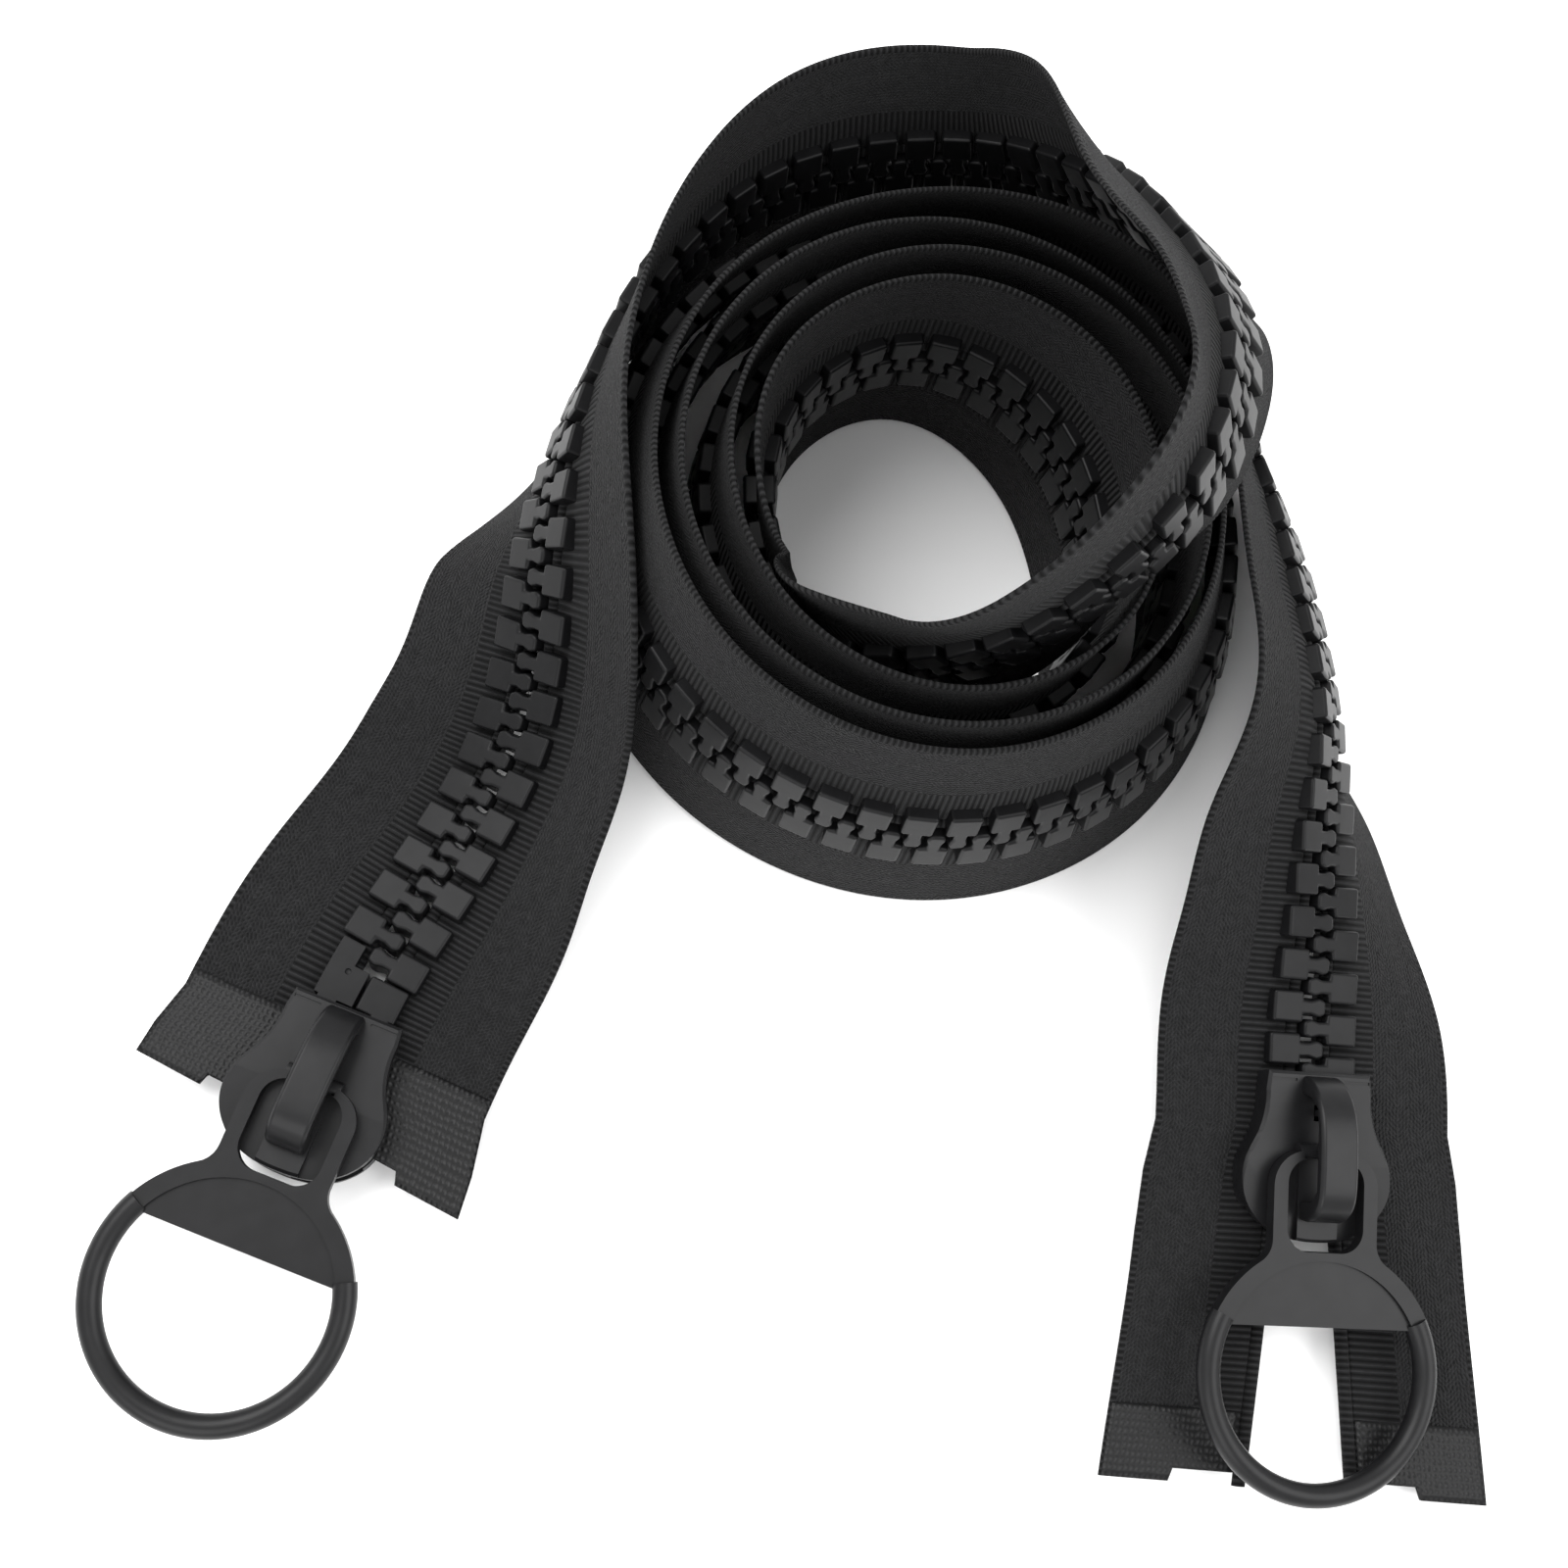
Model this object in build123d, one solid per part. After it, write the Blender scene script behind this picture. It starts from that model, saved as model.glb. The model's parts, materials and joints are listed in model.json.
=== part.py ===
from build123d import *
import math
import os

import numpy as np

# A long two-way separating zipper with large moulded teeth, closed and wound on edge into a loose
# roll.  Its chain is a ribbon: a centre line, a travel direction, an "upper" tape half on one side
# and a "lower" tape half on the other.  The two ends leave the roll and lie down on the floor, each
# with a slider whose wide nose faces the end of the tape.  Millimetres, +Z up, floor at Z = 0.

# ---- driving dimensions ---------------------------------------------------------------------------
TAPE_HALF = 26.0            # chain centre line to the outer edge of one tape
TAPE_THICKNESS = 0.9
PITCH = 7.0                 # tooth to tooth along one tape
CHAIN_HALF = 7.8            # chain centre line to the outer face of a tooth
CHAIN_THICKNESS = 5.2
FOLD_LINE = 8.6             # where a tape half may bend beside the stiff chain
CORD_RADIUS = 1.1           # core cord along the toothed edge of a tape
CORD_OFFSET = 3.0           # cord centre from the chain centre line
TAPE_INNER = CORD_OFFSET + CORD_RADIUS
CUT_SKEW = 0.11             # slope of the cut across the tapes at the pin end
CUT_SKEW_FADE = 21.0        # distance along the tapes over which that slope fades away
SECTION_STEP = PITCH        # distance between the cross-sections of a tape
SECTIONS_PER_SOLID = 3      # tape sections joined into one near-straight solid
ORIGIN = (47.303, 92.113, 0.286)  # middle of the whole footprint, and its lowest point, on the route

SLIDER_LENGTH = 27.0
SLIDER_CLEARANCE = 0.5      # between the chain's faces and the slider's plates
TOP_PLATE = 2.4
NOSE_RAMP_DEG = 6.0         # the front plate thins towards the nose beside the cap
BOTTOM_PLATE = 1.6
TAPE_SLOT_HALF = 0.9        # half height of the slot that the tape runs in
THROAT_HALF = 8.3           # inside half width of the narrow rear mouth

BAR_DIAMETER = 2.4
CAP_WIDTH = 6.4
CAP_THICKNESS = 1.8
RING_CENTRE = 34.5          # swivel bar to the ring's centre
RING_OUTER = 20.6
RING_TUBE = 1.9             # radius of the ring's round grip
RING_STEP_DEG = 63.0        # the grip starts this far from the pull's axis
CHORD_OFFSET = 7.1          # straight edge of the half-moon plate, from the ring's centre

ROLL_CENTRE = (70.0, 135.0)
ROLL_START_TURN = 0.625
ROLL_END_TURN = 4.125
ROLL_STEP = 0.125

# Stations of the route chosen one by one: x, y, z of the chain's centre, roll of the upper half
# (0 stands up, -90 lies down with the front face up), further roll of the lower half, and the share
# of its width that the lower half keeps where it is tucked under while it crosses the other turns.
PIN_END_STATIONS = [
    (-31.8, 39.8, 5.4, -92, 4, 1), (-27.6, 49.6, 5.4, -92, 4, 1), (-23.2, 59.4, 5.4, -91, 3, 1),
    (-18.3, 68.6, 5.2, -86, -4, 1), (-12.6, 77.6, 5, -74, -16, 1), (-6, 88, 5.4, -57, -31, 1),
    (1, 101, 8, -46, -38, 1), (5, 114, 13, -38, -28, 1), (7, 127, 21, -32, -16, 1),
    (9, 139, 25, -25, -3, 1), (12, 151, 26.5, -17, 3, 1), (19, 168, 26.8, -8, 0, 1),
    (31, 186, 27, 0, -2, 1), (47, 199, 27.5, 8, -10, 1), (66, 204, 29, 11, -14, 1),
    (85, 202, 33, 3, -10, 1), (99, 190, 43.5, -15, -4, 1), (107, 172, 57.5, -46, 8, 0.95),
    (110, 150, 66, -46, 14, 0.72), (105, 131, 68, -30, 6, 0.42), (96, 118, 67, -12, -4, 0.2),
    (85, 110, 57.5, 0, 0, 0.36), (73, 107, 44.5, 6, -2, 0.72), (60, 108.5, 34.8, 4, 0, 1),
]
STOP_END_STATIONS = [
    (131, 139, 25, -35, 8, 1), (134, 120, 25.5, -42, 16, 1), (135, 102, 25.5, -50, 33, 1),
    (134, 84, 21.5, -68, 30, 1), (133, 69, 18, -78, 24, 1), (131.5, 54, 14.2, -85, 9, 1),
    (130.4, 41, 11.8, -84, 0, 1), (129.3, 28, 9.6, -84, 0, 1), (128, 12, 7.1, -84, 0, 1),
    (126.4, -4, 5.3, -86, 0, 1), (124.5, -20, 4, -88, 0, 1),
]


def bump(value, middle, width):
    return math.exp(-((value - middle) / width) ** 2)


def roll_station(turn):
    """A station of the roll: a spiral on edge, a little conical and squeezed at both sides."""
    angle = 2 * math.pi * turn
    squeeze = 3.2 * math.sin(angle) ** 2 * max(0, 1 - (turn - 0.75) / 2)
    dents = 4.5 * bump(turn, 1.2, 0.14) + 2.5 * bump(turn, 3.75, 0.25)
    radius = 26 + 6.6 * turn + 0.33 * turn ** 2 - squeeze - dents
    cone = 8 * bump(turn, 0.9, 0.3) * math.sin(angle) ** 2 + 6 * bump(turn, 1.22, 0.15)
    lean = 6 - 5 * turn - 3.5 * math.cos(angle) + cone - 9 * bump(turn, 3.3, 0.2)
    height = TAPE_HALF * math.cos(math.radians(lean)) + 1.2
    x = ROLL_CENTRE[0] + radius * math.sin(angle)
    y = ROLL_CENTRE[1] + radius * math.cos(angle)
    return (x, y, height, lean, 0, 1)


def natural_spline(stations):
    """Cubic spline through the stations, as a function of the distance between them."""
    chord = np.linalg.norm(np.diff(stations[:, :3], axis=0), axis=1)
    knots = np.concatenate(([0.0], np.cumsum(chord)))
    count = len(knots)
    matrix = np.eye(count)
    right = np.zeros(stations.shape)
    for i in range(1, count - 1):
        matrix[i, i - 1:i + 2] = chord[i - 1], 2 * (chord[i - 1] + chord[i]), chord[i]
        rise_after = (stations[i + 1] - stations[i]) / chord[i]
        rise_before = (stations[i] - stations[i - 1]) / chord[i - 1]
        right[i] = 6 * (rise_after - rise_before)
    bends = np.linalg.solve(matrix, right)

    def value(at):
        i = np.clip(np.searchsorted(knots, at) - 1, 0, count - 2)
        step = chord[i][:, None]
        after = (knots[i + 1] - at)[:, None]
        before = (at - knots[i])[:, None]
        cubic = (bends[i] * after ** 3 + bends[i + 1] * before ** 3) / (6 * step)
        left = (stations[i] / step - bends[i] * step / 6) * after
        return cubic + left + (stations[i + 1] / step - bends[i + 1] * step / 6) * before

    return value, knots[-1]


def unit(vectors):
    return vectors / np.linalg.norm(vectors, axis=-1, keepdims=True)


class Route:
    """The chain's centre line by arc length, with its frames."""

    def __init__(self):
        turns = np.arange(ROLL_START_TURN, ROLL_END_TURN + ROLL_STEP / 2, ROLL_STEP)
        middle = [roll_station(turn) for turn in turns]
        stations = np.array(PIN_END_STATIONS + middle + STOP_END_STATIONS, float)
        stations[:, :3] -= ORIGIN
        value, span = natural_spline(stations)
        samples = value(np.linspace(0, span, int(span * 5)))
        steps = np.linalg.norm(np.diff(samples[:, :3], axis=0), axis=1)
        self.arc = np.concatenate(([0.0], np.cumsum(steps)))
        self.samples = samples
        self.length = self.arc[-1]

    def _at(self, s):
        return np.array([np.interp(s, self.arc, column) for column in self.samples.T])

    def frame(self, s):
        """Centre, travel, across (chain), front normal, and the two halves' own directions."""
        inside = min(max(s, 0.5), self.length - 0.5)
        row = self._at(inside)
        travel = unit(self._at(inside + 0.5)[:3] - self._at(inside - 0.5)[:3])
        centre = row[:3] + travel * (s - inside)
        up = unit(np.array([0, 0, 1.0]) - travel * travel[2])
        side = np.cross(up, travel)

        def across(degrees):
            return math.cos(math.radians(degrees)) * up + math.sin(math.radians(degrees)) * side

        chain = across(row[3] + row[4] / 2)
        return centre, travel, chain, np.cross(chain, travel), across(row[3]), across(row[3] + row[4]), row[5]

    def spread(self, s):
        """How far a slider holds each tape away from the centre line near the two ends."""
        pin_end = np.interp(s, [0, 6, 14], [2.3, 1.7, 0])
        nose = self.length - STOP_END_BARE
        stop_end = np.interp(s, [nose - 18, nose - 10, nose, self.length], [0, 1.8, 3.0, 6.5])
        return float(pin_end + stop_end)


STOP_END_BARE = 39.0        # tape beyond the nose of the slider at the stop end
PIN_END_OVERHANG = 6.5      # nose of the slider beyond the tapes' cut at the pin end
PIN_END_GAP = 9.5           # rear of the slider to the middle of the first tooth
STOP_END_OVERLAP = 5.5      # last tooth inside the rear of the slider at the stop end
route = Route()
PIN_SLIDER_AT = SLIDER_LENGTH / 2 - PIN_END_OVERHANG               # slider middles, along the route
STOP_SLIDER_AT = route.length - STOP_END_BARE - SLIDER_LENGTH / 2
FIRST_TOOTH_AT = SLIDER_LENGTH - PIN_END_OVERHANG + PIN_END_GAP
LAST_TOOTH_AT = route.length - STOP_END_BARE - SLIDER_LENGTH + STOP_END_OVERLAP


# ---- ribbon solids --------------------------------------------------------------------------------
def strip_section(s, side, inner, outer, low, high):
    """Corners of one tape half's cross-section, as two matching rows of three points."""
    centre, travel, chain, front, upper, lower, keep = route.frame(s)
    half = upper if side > 0 else lower
    reach = outer if side > 0 else FOLD_LINE + (outer - FOLD_LINE) * keep
    half_front = np.cross(half, travel)
    shift = centre + side * route.spread(s) * chain
    fold_front = unit(front + half_front)
    skew = -side * CUT_SKEW * max(0, 1 - s / CUT_SKEW_FADE) * travel
    rows = []
    for height in (low, high):
        start = shift + inner * (side * chain + skew) + height * front
        fold = shift + FOLD_LINE * (side * chain + skew) + height * fold_front
        edge = fold + (reach - FOLD_LINE) * (side * half + skew) + height * (half_front - fold_front)
        rows.append([start, fold, edge])
    return rows


def triangle(a, b, c):
    return Face(Wire.make_polygon([Vector(*a), Vector(*b), Vector(*c)]))


def solid_between(loops):
    """Closed solid of flat triangles through matching loops of points."""
    faces = []
    count = len(loops[0])
    for first, second in zip(loops, loops[1:]):
        for i in range(count):
            j = (i + 1) % count
            faces.append(triangle(first[i], first[j], second[j]))
            faces.append(triangle(first[i], second[j], second[i]))
    for loop in (loops[0], loops[-1]):
        for i in range(count // 2 - 1):
            low, next_low = loop[i], loop[i + 1]
            next_high, high = loop[count - 2 - i], loop[count - 1 - i]
            faces.append(triangle(low, next_low, next_high))
            faces.append(triangle(low, next_high, high))
    solid = Solid(Shell(faces))
    return solid if solid.volume > 0 else Solid(solid.wrapped.Reversed())


def strip_solid(side, stations, inner, outer, low, high):
    loops = []
    for s in stations:
        bottom, top = strip_section(s, side, inner, outer, low, high)
        loops.append(bottom + top[::-1])
    return solid_between(loops)


def tape(side):
    """One woven tape, in short solids that follow the roll closely."""
    count = round(route.length / (SECTION_STEP * SECTIONS_PER_SOLID))
    stations = np.linspace(0, route.length, count * SECTIONS_PER_SOLID + 1)
    half = TAPE_THICKNESS / 2
    solids = []
    for first in range(0, len(stations) - 1, SECTIONS_PER_SOLID):
        part = stations[first:first + SECTIONS_PER_SOLID + 1]
        solids.append(strip_solid(side, part, TAPE_INNER, TAPE_HALF, -half, half))
    return Compound(children=solids)


def core_cord(side):
    """The cord woven into the toothed edge, which the teeth are moulded around."""
    stations = np.linspace(0, route.length, round(route.length / SECTION_STEP) + 1)
    loops = []
    for s in stations:
        centre, travel, chain, front = route.frame(s)[:4]
        middle = centre + side * (CORD_OFFSET + route.spread(s)) * chain
        flat = CORD_RADIUS * chain * side
        high = CORD_RADIUS * front
        loops.append([middle + flat - high * 0.5, middle + flat + high * 0.5, middle - flat * 0.5 + high,
                      middle - flat * 0.5 - high])
    return solid_between(loops)


def end_film(side, start, end):
    """Stiff clear film bonded on the front face of a tape's end."""
    half = TAPE_THICKNESS / 2
    stations = np.linspace(start, end, 4)
    return strip_solid(side, stations, TAPE_INNER + 0.4, TAPE_HALF - 0.3, half, half + 0.2)


# ---- teeth, pins and stops ------------------------------------------------------------------------
def block(s, side, outline, half_thickness):
    """A flat-faced block on the chain: outline in (along, outward), thickness along the front."""
    centre, travel, chain, front = route.frame(s)[:4]
    shift = centre + side * route.spread(s) * chain
    loops = []
    for height in (-half_thickness, half_thickness):
        loops.append([shift + along * travel + side * out * chain + height * front for along, out in outline])
    faces = []
    count = len(outline)
    for i in range(count):
        j = (i + 1) % count
        corners = [loops[0][i], loops[0][j], loops[1][j], loops[1][i]]
        faces.append(Face(Wire.make_polygon([Vector(*corner) for corner in corners])))
    for loop in loops:
        faces.append(Face(Wire.make_polygon([Vector(*corner) for corner in loop])))
    solid = Solid(Shell(faces))
    return solid if solid.volume > 0 else Solid(solid.wrapped.Reversed())


TOOTH_HALF_LENGTH = 2.6
TOOTH_ROOT = 2.25
NECK_HALF = 1.15
HEAD_HALF = 1.6
TOOTH_OUTLINE = [
    (-TOOTH_HALF_LENGTH, CHAIN_HALF), (-TOOTH_HALF_LENGTH, TOOTH_ROOT), (-NECK_HALF, TOOTH_ROOT),
    (-NECK_HALF, 0.9), (-HEAD_HALF, -0.6), (-NECK_HALF, -1.9),
    (NECK_HALF, -1.9), (HEAD_HALF, -0.6), (NECK_HALF, 0.9),
    (NECK_HALF, TOOTH_ROOT), (TOOTH_HALF_LENGTH, TOOTH_ROOT), (TOOTH_HALF_LENGTH, CHAIN_HALF),
]


def teeth(side):
    """All the teeth of one tape; the other tape's teeth sit half a pitch further on."""
    first = FIRST_TOOTH_AT + (PITCH / 2 if side < 0 else 0)
    count = int((LAST_TOOTH_AT - first) / PITCH) + 1
    places = [first + PITCH * i for i in range(count)]
    return Compound(children=[block(s, side, TOOTH_OUTLINE, CHAIN_THICKNESS / 2) for s in places])


PIN_INNER = 2.9
PIN_OUTER = 6.1
PIN_HEAD_OUTER = 6.9
PIN_HEAD_INNER = 0.25
PIN_HEAD_LENGTH = 6.0
PIN_TIP = -3.0              # tip of a pin, beyond the tapes' cut
PIN_TOOTH_GAP = 0.4
DIMPLE_RADIUS = 0.45        # moulding mark in the longer head
DIMPLE_DEPTH = 0.35
STOP_HALF_LENGTH = 2.2
STOP_SHIFT = 1.5            # middle of a stop from the middle of its slider


def insertion_pin(side):
    """Rod moulded on the end of a tape's toothed edge, with a wide head beside the first tooth."""
    head_end = FIRST_TOOTH_AT - TOOTH_HALF_LENGTH - PIN_TOOTH_GAP
    head_start = head_end - PIN_HEAD_LENGTH
    pin = pin_length(side, PIN_TIP, head_start, PIN_INNER, PIN_OUTER)
    pin += pin_length(side, head_start, head_end, PIN_HEAD_INNER, PIN_HEAD_OUTER)
    if side < 0:
        pin += pin_length(side, head_end, head_end + PITCH / 2, PIN_INNER, PIN_HEAD_OUTER)
        pin -= pin_dimple(side, head_end - PIN_HEAD_LENGTH / 5)
    return pin


def pin_dimple(side, s):
    centre, travel, chain, front = route.frame(s)[:4]
    middle = centre + side * PIN_HEAD_OUTER / 2 * chain + CHAIN_THICKNESS / 2 * front
    return Plane(origin=tuple(middle), z_dir=tuple(front)).location * Cylinder(DIMPLE_RADIUS, 2 * DIMPLE_DEPTH)


def pin_length(side, start, end, inner, outer):
    """Straight piece of a pin between two places along the chain."""
    half = CHAIN_THICKNESS / 2
    corners = [(inner, -half), (outer, -half), (outer, half), (inner, half)]
    loops = []
    for s in np.linspace(start, end, 4):
        centre, travel, chain, front = route.frame(s)[:4]
        loops.append([centre + side * out * chain + height * front for out, height in corners])
    return solid_between(loops)


def top_stop(side):
    """Short block that stops the slider at the end of the teeth."""
    outline = [(-STOP_HALF_LENGTH, PIN_OUTER), (-STOP_HALF_LENGTH, PIN_INNER),
               (STOP_HALF_LENGTH, PIN_INNER), (STOP_HALF_LENGTH, PIN_OUTER)]
    return block(STOP_SLIDER_AT + STOP_SHIFT, side, outline, CHAIN_THICKNESS / 2)


# ---- slider, drawn flat: X across, Y from nose (-) to rear (+), Z along the front ------------------
PLATE_INNER = CHAIN_THICKNESS / 2 + SLIDER_CLEARANCE
PLATE_OUTER = PLATE_INNER + TOP_PLATE
BACK_OUTER = PLATE_INNER + BOTTOM_PLATE
BAR_HEIGHT = PLATE_OUTER + 0.35 + BAR_DIAMETER / 2
BAR_AT = 1.0                                    # swivel bar from the slider's middle, towards the rear
PAWL_BOTTOM = BAR_HEIGHT + BAR_DIAMETER / 2 + 0.25
PAWL_THICKNESS = 0.7
PAWL_LIFT = 1.2
SPRING_BOTTOM = PAWL_BOTTOM + PAWL_THICKNESS + PAWL_LIFT + 0.2
SPRING_THICKNESS = 0.3
CAP_INNER = SPRING_BOTTOM + SPRING_THICKNESS + 0.1
CAP_OUTER = CAP_INNER + CAP_THICKNESS
CAP_FRONT = -10.0
CAP_REAR = 12.9
WINDOW_AT = 7.0                                 # pawl window, from the slider's middle
WINDOW_SIZE = (2.2, 2.6)
BACK_SCALE = 0.985                              # back plate and rails against the front plate
MOUTH_HALF = 11.5                               # half width of the way for the teeth at the nose
FRONT_CHAMFER = 0.5
BACK_CHAMFER = 0.4
RAMP_START = -1.0
LINE_AT = 12.2                                  # pressed line across each rear corner of the front plate
LINE_SIZE = (4.4, 0.45, 0.5)
WEDGE_OUTLINE = [(-1.6, -13.2), (-2.4, -9.5), (0, -2.5), (2.4, -9.5), (1.6, -13.2)]


def half_outline(scale):
    """Right-hand edge of the slider's plan from rear to nose: narrow throat, shoulder, round nose."""
    points = [(8.9, 13.5), (9.3, 10.5), (9.5, 7.0), (10.6, 3.4), (12.5, -0.4), (13.0, -3.6),
              (12.2, -7.2), (9.8, -10.4), (6.2, -12.6), (0.0, -13.5)]
    return [(x * scale, y * scale) for x, y in points]


def plan_face(scale):
    right = half_outline(scale)
    left = [(-x, y) for x, y in reversed(right[:-1])]
    curve = Spline(*(right[1:] + left[:-1]))
    straight = Polyline(left[-2], left[-1], right[0], right[1])
    return make_face([curve, straight])


def channel_face():
    """The Y-shaped way for the teeth: one throat at the rear, widening to the two mouths."""
    beyond = SLIDER_LENGTH / 2 + 1.5
    right = [(THROAT_HALF, beyond), (THROAT_HALF, 5.5), (MOUTH_HALF, -1.5), (MOUTH_HALF, -beyond)]
    left = [(-x, y) for x, y in reversed(right)]
    return make_face(Polyline(*right, *left, close=True))


def slab(face, bottom, top):
    return extrude(Pos(0, 0, bottom) * face, amount=top - bottom)


def slider_body():
    """One casting: front plate, back plate, the wedge that joins them, and the side rails."""
    front_plate = slab(plan_face(1.0), PLATE_INNER, PLATE_OUTER)
    top_edges = front_plate.faces().sort_by(Axis.Z)[-1].edges()
    front_plate = chamfer(top_edges, FRONT_CHAMFER)
    back_plate = slab(plan_face(BACK_SCALE), -BACK_OUTER, -PLATE_INNER)
    back_plate = chamfer(back_plate.faces().sort_by(Axis.Z)[0].edges(), BACK_CHAMFER)
    rails = plan_face(BACK_SCALE) - channel_face()
    front_rails = slab(rails, TAPE_SLOT_HALF, PLATE_INNER)
    back_rails = slab(rails, -PLATE_INNER, -TAPE_SLOT_HALF)
    wedge = slab(make_face(Polyline(*WEDGE_OUTLINE, close=True)), -PLATE_INNER, PLATE_INNER)
    body = front_plate + back_plate + wedge + front_rails + back_rails
    window = Pos(0, WINDOW_AT, PLATE_INNER + TOP_PLATE / 2) * Box(*WINDOW_SIZE, TOP_PLATE + 1)
    body = body - window
    ramp_width = 12.0
    ramp = Box(ramp_width, SLIDER_LENGTH, TOP_PLATE, align=(Align.CENTER, Align.MAX, Align.MIN))
    for side in (-1, 1):
        middle = side * (CAP_WIDTH / 2 + 0.3 + ramp_width / 2)
        body -= Pos(middle, RAMP_START, PLATE_OUTER) * Rot(NOSE_RAMP_DEG, 0, 0) * ramp
        body -= Pos(side * (CAP_WIDTH / 2 + 3.2), LINE_AT, PLATE_OUTER) * Box(*LINE_SIZE)
    return body


def slider_cap():
    """Arched bridge over the front plate, standing on a foot at each end."""
    rise = CAP_OUTER - PLATE_OUTER
    clear = CAP_INNER - PLATE_OUTER
    back = Spline((CAP_FRONT, 0), (CAP_FRONT + 0.3, 0.50 * rise), (CAP_FRONT + 2.4, 0.87 * rise),
                  (CAP_FRONT + 6.5, rise), (CAP_FRONT + 12.0, rise), (CAP_REAR - 5.0, 0.84 * rise),
                  (CAP_REAR - 1.6, 0.48 * rise), (CAP_REAR, 0))
    arch = make_face([back, Line((CAP_REAR, 0), (CAP_FRONT, 0))])
    inside = Polyline((CAP_FRONT + 2.6, -1), (CAP_FRONT + 3.0, 0.65 * clear), (CAP_FRONT + 4.8, clear),
                      (CAP_REAR - 7.9, clear), (CAP_REAR - 5.1, clear - 0.5), (CAP_REAR - 3.5, 0.55 * clear),
                      (CAP_REAR - 2.6, -1), close=True)
    strap = extrude(arch - make_face(inside), amount=CAP_WIDTH / 2, both=True)
    strap = Pos(0, 0, PLATE_OUTER) * Rot(0, 0, 90) * Rot(90, 0, 0) * strap
    long_edges = strap.edges().filter_by(lambda e: abs(abs(e.center().X) - CAP_WIDTH / 2) < 0.01
                                         and e.center().Z > PLATE_OUTER + rise - 2.5)
    outer_edges = [e for e in long_edges if e.center().Z > CAP_INNER + 0.9]
    return chamfer(outer_edges, 0.5)


def lock_pawl():
    """Sprung strip over the swivel bar, whose tip reaches down through the window to the teeth."""
    strip_start = BAR_AT - 3.0
    strip_end = WINDOW_AT + 0.5
    middle = (strip_start + strip_end) / 2
    strip = Pos(0, middle, PAWL_BOTTOM + PAWL_THICKNESS / 2) * Box(1.8, strip_end - strip_start, PAWL_THICKNESS)
    tip_bottom = CHAIN_THICKNESS / 2 + 0.25
    tip_height = PAWL_BOTTOM - tip_bottom
    tip = Pos(0, WINDOW_AT, tip_bottom + tip_height / 2) * Box(1.8, 1.0, tip_height)
    return strip + tip


def lock_spring():
    """Leaf spring fixed under the roof of the cap."""
    return Pos(0, BAR_AT - 1.4, SPRING_BOTTOM + SPRING_THICKNESS / 2 + 0.1) * Box(2.6, 8.6, SPRING_THICKNESS)


# ---- pull, drawn flat: bar axis on X, ring towards -Y, mid-plane Z = 0 -----------------------------
LEG_OUTER = 9.0
LEG_WIDTH = 2.4
YOKE_THICKNESS = BAR_DIAMETER
OPENING_END = 15.8
LOOP_ROUND = 5.6            # outer corners of the loop beside the swivel bar
OPENING_ROUND = 3.8
WAIST_ROUND = 4.0
CAP_GAP_HALF = CAP_WIDTH / 2 + 0.7              # the bar is round over this half width, inside the cap
COLLAR_OUTER = 20.2
COLLAR_INNER = 17.4


def sector(radius, half_angle):
    """Pie slice about the ring's centre, opening towards the swivel bar."""
    reach = radius * 1.5
    points = [(0, 0)]
    for degrees in np.linspace(-half_angle, half_angle, 7):
        points.append((reach * math.sin(math.radians(degrees)), reach * math.cos(math.radians(degrees))))
    return Pos(0, -RING_CENTRE) * make_face(Polyline(*points, close=True))


def pull_yoke():
    """U-shaped loop through the cap, running out into the ring's collar and the half-moon plate."""
    centre = Pos(0, -RING_CENTRE)
    hole = centre * Circle(COLLAR_INNER)
    collar = (centre * Circle(COLLAR_OUTER) - hole) & sector(COLLAR_OUTER, RING_STEP_DEG)
    loop_length = RING_CENTRE - COLLAR_INNER
    loop = Pos(0, -loop_length / 2) * Rectangle(2 * LEG_OUTER, loop_length)
    loop = fillet(loop.vertices().group_by(Axis.Y)[-1], LOOP_ROUND)
    plan = loop + collar
    waist = plan.vertices().filter_by(lambda v: abs(abs(v.X) - LEG_OUTER) < 0.01 and v.Y < -10)
    plan = fillet(waist, WAIST_ROUND)
    bar_radius = BAR_DIAMETER / 2
    opening_length = OPENING_END - bar_radius
    opening = RectangleRounded(2 * (LEG_OUTER - LEG_WIDTH), opening_length, OPENING_ROUND)
    plan = plan - Pos(0, -bar_radius - opening_length / 2) * opening - hole
    plan -= Pos(0, -bar_radius / 2) * Rectangle(2 * CAP_GAP_HALF, bar_radius + 0.1)
    frame = extrude(plan, amount=YOKE_THICKNESS / 2, both=True)
    frame += Rot(0, 90, 0) * Cylinder(bar_radius, 2 * CAP_GAP_HALF + 1.2)
    cut = Pos(0, -RING_CENTRE + CHORD_OFFSET + RING_OUTER) * Rectangle(3 * RING_OUTER, 2 * RING_OUTER)
    moon = (centre * Circle(COLLAR_INNER + 0.3)) & cut
    return frame + extrude(moon, amount=0.6, both=True)


def pull_ring():
    """Round grip that closes the ring from one side of the collar to the other."""
    middle = RING_OUTER - RING_TUBE
    start = 90 + RING_STEP_DEG
    sweep_angle = 360 - 2 * RING_STEP_DEG
    path = CenterArc((0, -RING_CENTRE), middle, start, sweep_angle)
    section = Plane(origin=path @ 0, z_dir=path % 0) * Circle(RING_TUBE)
    return sweep(section, path=path)


# ---- placing --------------------------------------------------------------------------------------
def slider_location(s, nose_towards_start):
    """Slider frame on the chain: X across, Y from nose to rear, Z along the front face."""
    centre, travel, chain, front = route.frame(s)[:4]
    rear = travel if nose_towards_start else -travel
    across = np.cross(rear, front)
    return Plane(origin=tuple(centre), x_dir=tuple(across), z_dir=tuple(front)).location


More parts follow.
